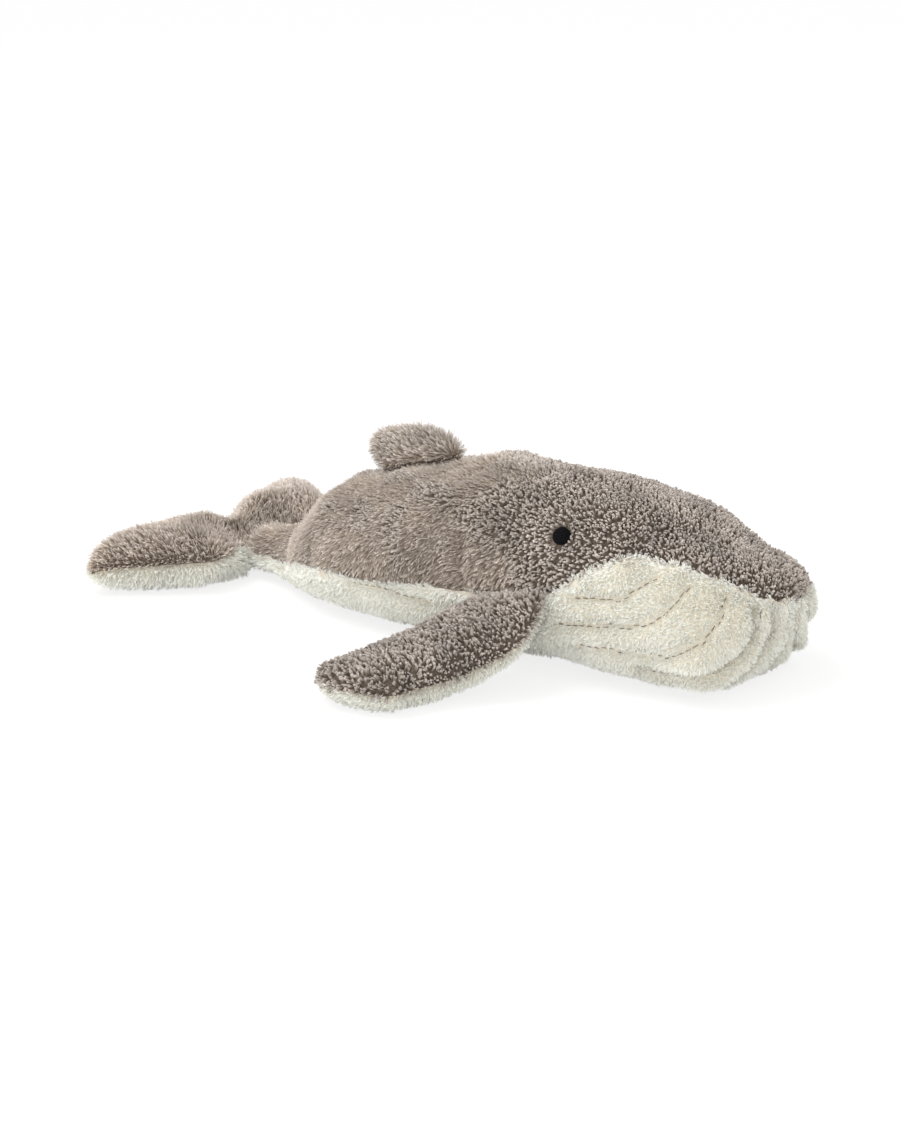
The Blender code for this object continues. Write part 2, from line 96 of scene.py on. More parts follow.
def setCamera():
    eye = link("camera", bpy.data.cameras.new("camera"))
    eye.data.lens = camera["lens"]
    eye.data.clip_start, eye.data.clip_end = 0.05, 40
    back = awayFrom(camera["azimuth"], camera["elevation"])
    eye.matrix_world = aimed(Vector(camera["target"]) + back * camera["distance"], back)
    bpy.context.scene.camera = eye


def setLamps():
    for name, azimuth, elevation, distance, width, power in lamps:
        lamp = link(name, bpy.data.lights.new(name, "AREA"))
        lamp.data.size, lamp.data.energy = width, power
        back = awayFrom(azimuth, elevation)
        lamp.matrix_world = aimed(back * distance, back)


# Materials: values are wrapped so that sums and products of them add Math nodes

class Value:
    def __init__(self, finish, socket):
        self.finish, self.socket = finish, socket

    def __add__(self, other):
        return self.finish.math("ADD", self, other)

    __radd__ = __add__

    def __mul__(self, other):
        return self.finish.math("MULTIPLY", self, other)

    __rmul__ = __mul__


class Finish:
    def __init__(self, name, roughness, **constants):
        self.material = bpy.data.materials.new(name)
        self.material.use_nodes = True
        self.tree = self.material.node_tree
        self.shader = self.tree.nodes["Principled BSDF"]
        self.shader.inputs["Roughness"].default_value = roughness
        for socket, value in constants.items():
            self.shader.inputs[socket.replace("_", " ")].default_value = value

    def node(self, kind, settings=(), sockets=()):
        made = self.tree.nodes.new(kind)
        for key, value in dict(settings).items():
            if key == "stops":
                ramp = made.color_ramp.elements
                while len(ramp) < len(value):
                    ramp.new(0.5)
                for stop, (place, color) in zip(ramp, value):
                    stop.position, stop.color = place, (*color, 1)
            else:
                setattr(made, key, value)
        for key, value in dict(sockets).items():
            if isinstance(value, Value):
                self.tree.links.new(value.socket, made.inputs[key])
            else:
                made.inputs[key].default_value = value
        return [Value(self, socket) for socket in made.outputs]

    def math(self, operation, first, second):
        return self.node("ShaderNodeMath", {"operation": operation}, {0: first, 1: second})[0]

    def ramp(self, value, stops):
        return self.node("ShaderNodeValToRGB", {"stops": stops}, {"Fac": value})[0]

    def times(self, color, factor):
        shade = self.node("ShaderNodeCombineColor", (), {0: factor, 1: factor, 2: factor})[0]
        settings = {"data_type": "RGBA", "blend_type": "MULTIPLY"}
        return self.node("ShaderNodeMix", settings, {0: 1.0, 6: color, 7: shade})[2]

    def blend(self, factor, first, second):
        return self.node("ShaderNodeMix", {"data_type": "RGBA"}, {0: factor, 6: first, 7: second})[2]

    def noise(self, scale, detail=2.0):
        place = self.node("ShaderNodeTexCoord")[3]
        return self.node("ShaderNodeTexNoise", (), {"Vector": place, "Scale": scale, "Detail": detail})[0]

    def drive(self, socket, value):
        self.tree.links.new(value.socket, self.shader.inputs[socket])

    def bump(self, height, distance):
        self.drive("Normal", self.node("ShaderNodeBump", (), {"Height": height, "Distance": distance})[0])


def pileFinish(name, root, middle, tip, middlePlace, variety):
    # The pile's own map holds each strand's shade across and the way from its root to its tip upwards
    finish = Finish(name, 0.85, Specular_IOR_Level=0.25)
    place = finish.node("ShaderNodeUVMap", {"uv_map": "OFBake"})[0]
    shade, length, _ = finish.node("ShaderNodeSeparateXYZ", (), {0: place})
    color = finish.ramp(length, ((0.0, root), (middlePlace, middle), (1.0, tip)))
    finish.drive("Base Color", finish.times(color, shade * variety + (1 - variety / 2)))
    return finish.material


def clothFinish(name, dark, pale):
    finish = Finish(name, 0.95, Specular_IOR_Level=0.2)
    color = finish.ramp(finish.noise(900.0, 3.0), ((0.3, dark), (0.7, pale)))
    finish.drive("Base Color", color)
    finish.bump(finish.noise(1400.0), 0.0004)
    return finish.material


def threadFinish(name, dark, pale, roughness, specular):
    finish = Finish(name, roughness, Specular_IOR_Level=specular)
    grain = finish.noise(2600.0)
    finish.drive("Base Color", finish.ramp(grain, ((0.25, dark), (0.75, pale))))
    finish.bump(grain, 0.00012)
    return finish.material


def floorFinish():
    # White to the camera and in gloss, with the whale's shadow on it
    finish = Finish("white_floor", 0.9, Specular_IOR_Level=0.0)
    paths = finish.node("ShaderNodeLightPath")
    seen = finish.math("MAXIMUM", finish.math("MAXIMUM", paths[0], paths[3]), paths[6])
    shades = [(light[key],) * 3 + (1,) for key in ("floorLit", "floorSeen")]
    finish.drive("Base Color", finish.blend(seen, *shades))
    glow = finish.node("ShaderNodeEmission", (), {"Strength": seen * light["floorGlow"]})[0]
    matt = Value(finish, finish.shader.outputs[0])
    surface = finish.node("ShaderNodeAddShader", (), {0: matt, 1: glow})[0]
    finish.tree.links.new(surface.socket, finish.tree.nodes["Material Output"].inputs["Surface"])
    return finish.material


def setStage():
    world = bpy.data.worlds.new("studio")
    bpy.context.scene.world = world
    world.use_nodes = True
    tree = world.node_tree
    paths = tree.nodes.new("ShaderNodeLightPath")
    seen = paths.outputs["Is Camera Ray"]
    for other in ("Is Glossy Ray", "Is Transmission Ray"):
        either = tree.nodes.new("ShaderNodeMath")
        either.operation = "MAXIMUM"
        tree.links.new(seen, either.inputs[0])
        tree.links.new(paths.outputs[other], either.inputs[1])
        seen = either.outputs[0]
    strength = tree.nodes.new("ShaderNodeMapRange")
    strength.inputs["To Min"].default_value = light["world"]
    tree.links.new(seen, strength.inputs["Value"])
    tree.nodes["Background"].inputs["Color"].default_value = (1, 1, 1, 1)
    tree.links.new(strength.outputs[0], tree.nodes["Background"].inputs["Strength"])
    mesh = bmesh.new()
    bmesh.ops.create_grid(mesh, x_segments=1, y_segments=1, size=8)
    data = bpy.data.meshes.new("floor")
    mesh.to_mesh(data)
    mesh.free()
    data.materials.append(floorFinish())
    link("floor", data)


setCamera()
setLamps()
setStage()
bpy.context.scene.view_settings.view_transform = "Standard"
print("camera, lamps and floor")


# Forms: the surfaces of the solids, fitted closer to the photo

def curveThrough(places, values, at):
    # Smooth curve through a table that rises and falls only where the table does
    places, values = np.array(places, float), np.array(values, float)
    widths = np.diff(places)
    steps = np.diff(values) / widths
    before, after = steps[:-1], steps[1:]
    alike = before * after > 0
    inner = np.where(alike, 2 * before * after / np.where(alike, before + after, 1), 0)
    slopes = np.concatenate((steps[:1], inner, steps[-1:]))
    index = np.clip(np.searchsorted(places, at, side="right") - 1, 0, len(steps) - 1)
    width = widths[index]
    along = (at - places[index]) / width
    start, end = values[index], values[index + 1]
    leaving, arriving = slopes[index] * width, slopes[index + 1] * width
    bend = 3 * (end - start) - 2 * leaving - arriving
    twist = leaving + arriving - 2 * (end - start)
    return start + along * (leaving + along * (bend + along * twist))


def shaped(form, key, share):
    return curveThrough(form["stations"], form[key], share)


def rounding(share, roundFrom):
    beyond = np.clip((share - roundFrom) / (1 - roundFrom), 0, 1)
    return np.maximum(np.sqrt(1 - beyond * beyond), 0.004)


def inside(size, depth):
    return size * size / (size + depth)


def signedPower(value, power):
    return np.sign(value) * np.abs(value) ** power


def unit(vectors):
    return vectors / np.maximum(np.linalg.norm(vectors, axis=-1, keepdims=True), 1e-12)


def smoothStep(value):
    held = np.clip(value, 0, 1)
    return held * held * (3 - 2 * held)


def evenShare(along, rear, front):
    # Shares of a length in even steps over a form whose rear and front are rounded
    # Rear and front are each given as (span, part of the steps)
    atRear = rear[0] * (1 - np.cos(quarterTurn * np.clip(along / max(rear[1], 1e-9), 0, 1)))
    atFront = front[0] * np.sin(quarterTurn * np.clip((along - 1 + front[1]) / front[1], 0, 1))
    between = np.clip((along - rear[1]) / (1 - rear[1] - front[1]), 0, 1)
    return atRear + between * (1 - rear[0] - front[0]) + atFront


threadToCloth = 0.0014

body = dict(
    length=0.3565, halfWidth=0.0655, height=0.097, noseHeight=0.05, middleShare=0.42, restCut=0.0005,
    stations=(0, 0.05, 0.1, 0.13, 0.2, 0.35, 0.5, 0.65, 0.8, 0.9, 1),
    widthShares=(0.21, 0.28, 0.36, 0.49, 0.75, 0.94, 0.975, 0.985, 0.99, 0.93, 0.78),
    topShares=(0.27, 0.315, 0.38, 0.52, 0.72, 0.878, 0.985, 0.97, 0.89, 0.73, 0.6),
    bottomShares=(0.065, 0.045, 0.02, 0.012, 0, 0, 0, 0, 0, 0.003, 0.03),
    seamStations=(0, 0.15, 0.3, 0.5, 0.6, 0.69, 0.735, 0.77, 0.81, 0.9, 0.96, 1),
    seamShares=(0.42, 0.38, 0.37, 0.39, 0.42, 0.515, 0.655, 0.755, 0.85, 0.89, 0.865, 0.85),
    tiltStations=(0, 0.81, 0.9, 0.96, 1), seamTilts=(0, 0, 0.04, 0.085, 0.11),
    upperRoundness=2.2, lowerRoundness=2.8, noseFrom=0.93, bluntness=0.7,
    tailClosing=0.008, tailInset=0.4, tailInsetReach=0.12,
)


def bodyHeights(share):
    drawIn = rounding(share, body["noseFrom"]) ** body["bluntness"]
    top = body["height"] * shaped(body, "topShares", share)
    bottom = body["height"] * shaped(body, "bottomShares", share) - body["restCut"]
    top = body["noseHeight"] + (top - body["noseHeight"]) * drawIn
    bottom = body["noseHeight"] + (bottom - body["noseHeight"]) * drawIn
    return bottom, bottom + body["middleShare"] * (top - bottom), top


def bodySurface(share, turn, side, depth):
    # turn is an angle up from the body's side; the tail end is pinched flat for its seam
    start = hinges["fluke"][0][0] + threadToCloth + depth / 2
    x = start + share * (body["length"] - threadToCloth - 1.5 * depth)
    least = body["tailInset"]
    depth = depth * (least + (1 - least) * smoothStep(share / body["tailInsetReach"]))
    bottom, middle, top = bodyHeights(share)
    half = body["halfWidth"] * shaped(body, "widthShares", share)
    half = inside(half * rounding(share, body["noseFrom"]), depth)
    upper = turn > 0
    power = np.where(upper, 2 / body["upperRoundness"], 2 / body["lowerRoundness"])
    pinch = rounding(1 - share, 1 - body["tailClosing"])
    reach = inside(np.where(upper, top - middle, middle - bottom) * pinch, depth)
    across = half * signedPower(np.cos(turn), power)
    return np.stack((x, side * across, middle + reach * signedPower(np.sin(turn), power)), axis=-1)


def seamTurn(share, side):
    # The whale lies with its nose rolled a little to its left
    height = curveThrough(body["seamStations"], body["seamShares"], share) - body["middleShare"]
    height = height - side * curveThrough(body["tiltStations"], body["seamTilts"], share)
    upper = height > 0
    portion = height / np.where(upper, 1 - body["middleShare"], body["middleShare"])
    power = np.where(upper, body["upperRoundness"], body["lowerRoundness"]) / 2
    return np.arcsin(signedPower(portion, power))


flipper = dict(
    length=0.1, halfChord=0.0225, halfThickness=0.0122, sweep=0.037, bow=0.0115, restCut=0.0005,
    stations=(0, 0.07, 0.25, 0.5, 0.75, 1), frontShares=(1.28, 1.36, 1.4, 1.0, 0.88, 1.5),
    rearShares=(1, 1.06, 1.35, 1.68, 1.52, 1.1), thicknessShares=(0.15, 0.6, 1.1, 1.2, 1.08, 0.95),
    resting=0.96, roundFrom=0.84, dropShare=0.85, roundness=2.2,
    sheet=(0.11, 0.068), tipSteps=(0.3, 0.39), inset=0.0022,
)


def flipperSurface(share, turn, side, depth):
    hinge, along = hinges["left_flipper" if side > 0 else "right_flipper"]
    outward = side * np.cross(up, along)
    outward /= np.linalg.norm(outward)
    level = side * np.cross(outward, up)
    end = rounding(share, flipper["roundFrom"])
    front, rear = (shaped(flipper, key, share) for key in ("frontShares", "rearShares"))
    chord = inside(flipper["halfChord"] * np.where(np.cos(turn) > 0, front, rear) * end, depth)
    full = flipper["halfThickness"] * shaped(flipper, "thicknessShares", share)
    reach = share * (flipper["length"] - depth)
    outwardShare = reach / flipper["length"]
    drop = 1 - np.clip(1 - outwardShare / flipper["dropShare"], 0, 1) ** 2
    resting = flipper["halfThickness"] * flipper["resting"] - flipper["restCut"]
    forward = flipper["bow"] * np.sin(np.pi * outwardShare) - flipper["sweep"] * outwardShare
    power = 2 / flipper["roundness"]
    reach, forward, drop = reach[..., None], forward[..., None], drop[..., None]
    middle = hinge + outward * reach + level * forward + up * (resting - hinge[2]) * drop
    across = along * (1 - drop) + level * drop
    rise = inside(full * end, depth) * signedPower(np.sin(turn), power)
    return middle + across * (chord * signedPower(np.cos(turn), power))[..., None] + up * rise[..., None]


def flipperOn(side):
    def surface(share, turn, depth):
        return flipperSurface(share, turn, side, depth)
    return surface


fluke = dict(
    reach=0.058, halfSpan=0.0965, halfThickness=0.0178, tipLift=0.003, waist=0.26, restCut=0.0005,
    stations=(0, 0.13, 0.2, 0.27, 0.35, 0.5, 0.65, 0.8, 0.93, 1),
    frontShares=(0, 0.04, 0.02, -0.04, -0.12, -0.16, 0.04, 0.33, 0.57, 0.67),
    rearShares=(0.56, 0.64, 0.7, 0.75, 0.81, 0.88, 0.94, 1, 1, 0.97),
    thicknessShares=(0.85, 0.93, 1.0, 1.05, 1.06, 1.03, 0.98, 0.88, 0.74, 0.62),
    leftLead=0.0055, leadReach=0.5, underLead=0.01, underPlace=0.22, underWidth=0.13,
    frontThinning=0.7, thinFrom=0.28, thinReach=0.3, roundFrom=0.8, pinchedRoundness=1.5, roundness=2.2,
    sheet=(0.21, 0.08), tipSteps=(0.24, 0.3), inset=0.0028,
)


def flukeSurface(place, turn, depth):
    # place runs from -1 at the right tip to 1 at the left tip
    share = np.abs(place)
    tail, _, seamHeight = hinges["fluke"][0]
    front = tail - threadToCloth - fluke["reach"] * shaped(fluke, "frontShares", share)
    rear = tail - fluke["reach"] * shaped(fluke, "rearShares", share)
    lead = fluke["leftLead"] * smoothStep(place / fluke["leadReach"])
    front, rear = front + lead, rear + lead
    end = rounding(share, fluke["roundFrom"])
    full = fluke["halfThickness"] * shaped(fluke, "thicknessShares", share)
    spread = smoothStep(share / fluke["waist"])
    resting = full - fluke["restCut"] + fluke["tipLift"] * share * share
    height = seamHeight + (resting - seamHeight) * spread
    power = 2 / (fluke["pinchedRoundness"] + (fluke["roundness"] - fluke["pinchedRoundness"]) * spread)
    chord = inside((front - rear) / 2 * end, depth)
    x = (front + rear) / 2 + chord * signedPower(np.cos(turn), power)
    under = np.clip(-np.sin(2 * turn), 0, 1) * (np.cos(turn) > 0)
    x = x + fluke["underLead"] * under * np.exp(-((share - fluke["underPlace"]) / fluke["underWidth"]) ** 2)
    nearTail = 1 - smoothStep((share - fluke["thinFrom"]) / fluke["thinReach"])
    ahead = np.sqrt(np.clip(np.cos(turn), 0, 1)) * (np.sin(turn) > 0) * nearTail
    rise = inside(full * end, depth) * (1 - fluke["frontThinning"] * ahead)
    z = height + rise * signedPower(np.sin(turn), power)
    return np.stack((x, place * (fluke["halfSpan"] - depth), z), axis=-1)


fin = dict(
    length=0.035, sunk=0.0015, halfThickness=0.0068, lean=math.radians(60), rearPlace=0.245, frontPlace=0.4,
    stations=(0, 0.35, 0.7, 1), chordShares=(0.98, 1.04, 0.9, 0.74), thicknessShares=(0.5, 0.95, 1, 0.85),
    sweeps=(-0.0025, 0.0078, 0.023, 0.037), roundFrom=0.5, roundness=2.2,
    sheet=(0.045, 0.06), tipSteps=(0.5, 0.62), inset=0.0022,
)


def finRoot():
    # Half of the length of the fin's seam
    ends = bodySurface(np.array((fin["rearPlace"], fin["frontPlace"])), np.array((quarterTurn,) * 2), 1, 0)
    return np.linalg.norm(ends[1] - ends[0]) / 2


def finWays():
    # Along the fin's seam, up from it, and out along the fin
    along = hinges["dorsal_fin"][1]
    upward = np.cross(along, left)
    return along, upward, upward * math.cos(fin["lean"]) + left * math.sin(fin["lean"])


def finSurface(share, turn, depth):
    hinge = hinges["dorsal_fin"][0]
    along, _, outward = finWays()
    sideways = np.cross(along, outward)
    end = rounding(share, fin["roundFrom"])
    chord = inside(finRoot() * end * shaped(fin, "chordShares", share), depth)
    full = fin["halfThickness"] * end * shaped(fin, "thicknessShares", share)
    reach = share * (fin["length"] - depth) - (1 - share) * fin["sunk"]
    power = 2 / fin["roundness"]
    sweep = shaped(fin, "sweeps", share)
    middle = hinge + outward * reach[..., None] - along * sweep[..., None]
    offset = along * (chord * signedPower(np.cos(turn), power))[..., None]
    rise = inside(full, depth) * signedPower(np.sin(turn), power)
    return middle + offset + sideways * rise[..., None]


# Lines and dents that shape the cloth

def waves(points, wavelength, seed, count=10):
    # A smooth random rise and fall, mostly between -1 and 1
    pick = np.random.default_rng(seed)
    ways = pick.normal(size=(count, 3))
    ways /= np.linalg.norm(ways, axis=1)[:, None]
    ways *= pick.uniform(0.7, 1.4, (count, 1)) * 2 * np.pi / wavelength
    return np.sin(points @ ways.T + pick.uniform(0, 2 * np.pi, count)).sum(-1) * 0.5 / math.sqrt(count / 2)


def awayFromLine(points, start, end):
    start, way = np.array(start), np.array(end) - np.array(start)
    along = np.clip((points - start) @ way / max(way @ way, 1e-12), 0, 1)
    return np.linalg.norm(points - start - along[..., None] * way, axis=-1)


class Lines:
    def __init__(self, lines):
        points = np.concatenate(lines)
        self.tree = KDTree(len(points))
        for index, point in enumerate(points):
            self.tree.insert(point, index)
        self.tree.balance()

    def away(self, points):
        found = [self.tree.find(point)[2] for point in points.reshape(-1, 3)]
        return np.array(found).reshape(points.shape[:-1])


cloth = dict(inset=0.0028, wall=0.0012, cell=0.0021, floorGap=0.0006)

# Rows of throat stitches as (share of the body's length, share of a quarter turn up from its side)
throatRows = (
    ((0.852, 0.47), (0.839, 0.38), (0.822, 0.24), (0.797, 0.18), (0.767, 0.14), (0.725, 0.1)),
    ((0.897, 0.55), (0.894, 0.4), (0.88, 0.2), (0.844, 0.06), (0.802, 0.01), (0.756, -0.02), (0.7, -0.06)),
    ((0.95, 0.61), (0.956, 0.38), (0.95, 0.13), (0.918, 0), (0.871, -0.09), (0.826, -0.15), (0.74, -0.19)),
    ((0.983, 0.58), (0.991, 0.2), (0.99, -0.04), (0.98, -0.2), (0.955, -0.25), (0.91, -0.3), (0.84, -0.36)),
    ((0.997, 0.3), (0.9985, -0.1), (0.997, -0.5), (0.99, -0.66), (0.975, -0.66), (0.94, -0.66),
     (0.89, -0.66)),
)
bellyRow = ((0.463, -0.13), (0.42, -0.11), (0.36, -0.06), (0.306, -0.03))

folds = dict(
    seamDepth=0.0012, seamWidth=0.003, creamLift=0.0022, creamWidth=0.005, rowGap=0.07,
    ridgeDepth=0.0003, ridgeWidth=0.002, ridgeAbove=0.035,
    pleatDepth=0.0032, pleatReach=0.01, jawDepth=0.005, jawReach=0.0075,
    lumps=((0.06, 0.0014), (0.024, 0.0006)),
    # Creases and dents as (start, end, depth, width)
    dents=(
        ((0.0203, -0.0042, 0.0954), (0.0168, -0.0219, 0.0925), 0.0024, 0.0035),
        ((0.0571, -0.0023, 0.0959), (0.0559, -0.0252, 0.0925), 0.003, 0.004),
        ((0.034, -0.0557, 0.0705), (0.0404, -0.064, 0.0403), 0.0016, 0.004),
        ((0.1404, -0.043, 0.0745), (0.1415, -0.03, 0.0805), 0.003, 0.0045),
        ((0.1675, -0.0076, 0.0724), (0.1755, 0.0021, 0.0693), 0.0018, 0.003),
        ((0.1772, -0.0305, 0.0643), (0.1853, -0.0187, 0.0642), 0.0018, 0.003),
    ),
)


def faired(values):
    # Each value becomes a weighted mean of its neighbours, and the ends stay in place
    window = np.hanning(len(values) // 4 * 2 + 1)
    padded = np.pad(values, len(window) // 2, mode="reflect", reflect_type="odd")
    return np.convolve(padded, window / window.sum(), mode="valid")


def rowLine(row, side, count=160):
    stations = np.linspace(0, 1, len(row))
    at = np.linspace(0, 1, count)
    share = faired(curveThrough(stations, [place for place, _ in row], at))
    turn = faired(curveThrough(stations, [turn for _, turn in row], at)) * quarterTurn
    turn = np.minimum(turn, seamTurn(share, side) - folds["rowGap"])
    return bodySurface(share, turn, side, cloth["inset"])


def seamLine(side, count=900):
    share = np.linspace(0, 1, count)
    return bodySurface(share, seamTurn(share, side), side, cloth["inset"])


seamLines = Lines([seamLine(side) for side in (1, -1)])
pleatLines = Lines([rowLine(row, side) for row in (*throatRows, bellyRow) for side in (1, -1)])
jawLines = Lines([rowLine(row, side) for row in throatRows[3:] for side in (1, -1)])


eyes = dict(
    place=0.685, turn=0.46, radius=0.005, rise=0.0022, riseWidth=0.006,
    threads=12, threadWidth=0.00044, threadHeight=0.0008, dome=0.0021, lift=0.0006,
)


def eyeSeat(side, depth):
    return bodySurface(np.array(eyes["place"]), np.array(eyes["turn"] * quarterTurn), side, depth)


eyePoint = eyeSeat(1, cloth["inset"])


def fromEye(points):
    # From the eye on the same side of the whale to each point
    return points - eyePoint * np.where(points[..., 1:2] < 0, np.array((1, -1, 1)), 1)


def bodyRelief(points, marks):
    seam = folds["seamDepth"] * np.exp(-(marks["seam"] / folds["seamWidth"]) ** 2)
    pleat = folds["pleatDepth"] * np.clip(1 - marks["row"] / folds["pleatReach"], 0, 1) ** 2
    pleat += folds["jawDepth"] * np.clip(1 - marks["jaw"] / folds["jawReach"], 0, 1)
    onTop = points[..., 2] > folds["ridgeAbove"]
    ridge = folds["ridgeDepth"] * np.exp(-(points[..., 1] / folds["ridgeWidth"]) ** 2) * onTop
    eyeAway = np.linalg.norm(fromEye(points), axis=-1)
    relief = eyes["rise"] * np.exp(-(eyeAway / eyes["riseWidth"]) ** 2) - seam - pleat - ridge
    for number, (wavelength, height) in enumerate(folds["lumps"]):
        relief += waves(points, wavelength, number + 1) * height
    for start, end, depth, width in folds["dents"]:
        relief -= depth * np.exp(-(awayFromLine(points, start, end) / width) ** 2)
    return relief


def creamRelief(points, marks):
    # The cream cloth stands out beside the seam
    return folds["creamLift"] * np.exp(-(marks["seam"] / folds["creamWidth"]) ** 2)


limbFolds = dict(lumpSize=0.03, lump=0.0005, edgeDepth=0.0006, edgeWidth=0.002)


def limbRelief(points, marks):
    edge = limbFolds["edgeDepth"] * np.exp(-(marks["edge"] / limbFolds["edgeWidth"]) ** 2)
    return waves(points, limbFolds["lumpSize"], 5) * limbFolds["lump"] - edge


# Cloth panels

class Panel:
    # A grid of points over a surface: axis 0 runs along it from the rear or the root, axis 1 across it
    def __init__(self, name, body, place, surface, outwards, size, inset=cloth["inset"]):
        self.name, self.body, self.outwards = name, body, outwards
        self.cells = [max(round(length / cloth["cell"]), 8) for length in size]
        along, across = (np.linspace(0, 1, count + 1) for count in self.cells)
        self.along, self.across = np.meshgrid(along, across, indexing="ij")
        self.share, self.turn = place(self.along, self.across)
        self.points = surface(self.share, self.turn, inset)
        self.marks = {}

    def tangents(self):
        return np.gradient(self.points, axis=0), np.gradient(self.points, axis=1)

    def normals(self):
        along, across = self.tangents()
        normals = np.cross(along, across) * self.outwards
        length = np.linalg.norm(normals, axis=-1, keepdims=True)
        normals = normals / np.maximum(length, 1e-15)
        normals[-1] = np.where(length[-1] < 1e-13, normals[-2], normals[-1])
        normals[0] = np.where(length[0] < 1e-13, normals[1], normals[0])
        return normals

    def shape(self, relief):
        self.points = self.points + self.normals() * relief(self.points, self.marks)[..., None]

    def away(self, mark):
        # The way along the cloth in which a distance grows
        along, across = self.tangents()
        growth = np.gradient(self.marks[mark], axis=0), np.gradient(self.marks[mark], axis=1)
        size = [np.maximum((way * way).sum(-1), 1e-14) for way in (along, across)]
        return along * (growth[0] / size[0])[..., None] + across * (growth[1] / size[1])[..., None]

    def areas(self):
        first = self.points[1:, 1:] - self.points[:-1, :-1]
        second = self.points[1:, :-1] - self.points[:-1, 1:]
        return np.linalg.norm(np.cross(first, second), axis=-1) / 2

    def at(self, field, i, j, s, t):
        if field.ndim == 3:
            s, t = s[:, None], t[:, None]
        near = field[i, j] * (1 - t) + field[i, j + 1] * t
        far = field[i + 1, j] * (1 - t) + field[i + 1, j + 1] * t
        return near * (1 - s) + far * s


def finished(name, mesh, material, body):
    data = bpy.data.meshes.new(name)
    mesh.to_mesh(data)
    mesh.free()
    data.shade_smooth()
    data.set_sharp_from_angle(angle=math.radians(60))
    data.materials.append(material)
    piece = link(name, data)
    if body:
        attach(piece, body)
    return piece


def sewPanel(panel, material):
    # Cloth along the panel's grid, with a wall on its inner side; its node is the one of the same name
    panel.points[..., 2] = np.maximum(panel.points[..., 2], cloth["floorGap"])
    mesh = bmesh.new()
    mesh.loops.layers.uv.new("OFBake")
    long, wide = panel.cells
    bmesh.ops.create_grid(mesh, x_segments=long, y_segments=wide, size=1, calc_uvs=True)
    for vert in mesh.verts:
        vert.co = panel.points[round((vert.co.x + 1) / 2 * long), round((vert.co.y + 1) / 2 * wide)]
    bmesh.ops.remove_doubles(mesh, verts=mesh.verts, dist=0.00002)
    if panel.outwards < 0:
        bmesh.ops.reverse_faces(mesh, faces=mesh.faces)
    piece = finished(panel.name.replace("_panel", "_cloth"), mesh, material, panel.body)
    wall = piece.modifiers.new("wall", "SOLIDIFY")
    wall.thickness, wall.offset = cloth["wall"], -1
    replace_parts(piece, panel.name)


bodySteps = dict(rear=(0.008, 0.02), front=(0.07, 0.145))
bodySheets = dict(back=(0.39, 0.105), belly=(0.39, 0.21))


def backPlace(side):
    # From the seam on one side up to the ridge of the back
    def place(along, across):
        share = evenShare(along, **bodySteps)
        seam = seamTurn(share, side)
        return share, seam + (quarterTurn - seam) * across
    return place


def bellyPlace(along, across):
    # From the left seam down under the belly and up to the right seam
    share = evenShare(along, **bodySteps)
    seam = seamTurn(share, np.where(across < 0.5, 1, -1))
    down = np.abs(1 - 2 * across)
    return share, -quarterTurn + (seam + quarterTurn) * down


def bodyPanel(name, side):
    if side:
        def surface(share, turn, depth):
            return bodySurface(share, turn, side, depth)
        panel = Panel(name, "torso", backPlace(side), surface, -side, bodySheets["back"])
    else:
        def surface(share, turn, depth):
            sides = np.where(np.arange(turn.shape[1]) <= turn.shape[1] // 2, 1, -1)[None, :]
            return bodySurface(share, turn, sides, depth)
        panel = Panel(name, "torso", bellyPlace, surface, 1, bodySheets["belly"])
    lines = {"seam": seamLines, "row": pleatLines, "jaw": jawLines}
    panel.marks = {mark: line.away(panel.points) for mark, line in lines.items()}
    panel.shape(bodyRelief)
    if not side:
        panel.shape(creamRelief)
    return panel


def limbPanel(name, body, form, surface, start, outwards=1, both=False):
    # start is the turn at which the panel begins: 0 for the upper panel, half a turn for the lower
    def place(along, across):
        turn = start + np.pi * across
        if not both:
            return evenShare(along, (0, 0), form["tipSteps"]), turn
        return np.sign(along - 0.5) * evenShare(np.abs(2 * along - 1), (0, 0), form["tipSteps"]), turn

    panel = Panel(name, body, place, surface, outwards, form["sheet"], form["inset"])
    width = np.linalg.norm(np.diff(panel.points, axis=1), axis=-1).cumsum(axis=1)
    run = np.concatenate((np.zeros((width.shape[0], 1)), width), axis=1)
    panel.marks = {"edge": np.minimum(run, run[:, -1:] - run)}
    panel.shape(limbRelief)
    return panel


panels = {
    "back_left_panel": bodyPanel("back_left_panel", 1),
    "back_right_panel": bodyPanel("back_right_panel", -1),
    "belly_panel": bodyPanel("belly_panel", 0),
}
topAndBottom = (("top", 0), ("bottom", np.pi))
for sideName, side in bothSides:
    for part, start in topAndBottom:
        name = f"{sideName}_flipper_{part}_panel"
        surface = flipperOn(side)
        panels[name] = limbPanel(name, f"{sideName}_flipper", flipper, surface, start, side)
for part, start in topAndBottom:
    name = f"fluke_{part}_panel"
    panels[name] = limbPanel(name, "fluke", fluke, flukeSurface, start, both=True)
for part, start in (("right", 0), ("left", np.pi)):
    name = f"dorsal_fin_{part}_panel"
    panels[name] = limbPanel(name, "dorsal_fin", fin, finSurface, start)
print("forms of", len(panels), "panels")


# Pile

pile = dict(
    density=3.1e6, length=0.005, radius=0.0002, rooted=0.0004, floorGap=0.0002,
    evening=3, strandsInPiece=49000,
)


def strandShape():
    # A slim three-sided spike that stands on z = 0
    mesh = bmesh.new()
    lifted = Matrix.Translation((0, 0, 0.5))
    bmesh.ops.create_cone(mesh, cap_ends=True, segments=3, radius1=1, radius2=0, depth=1, matrix=lifted)
    bmesh.ops.recalc_face_normals(mesh, faces=mesh.faces)
    mesh.verts.index_update()
    corners = np.array([vert.co for vert in mesh.verts])
    faces = np.array([[vert.index for vert in face.verts] for face in mesh.faces])
    mesh.free()
    return corners, faces


strandCorners, strandFaces = strandShape()


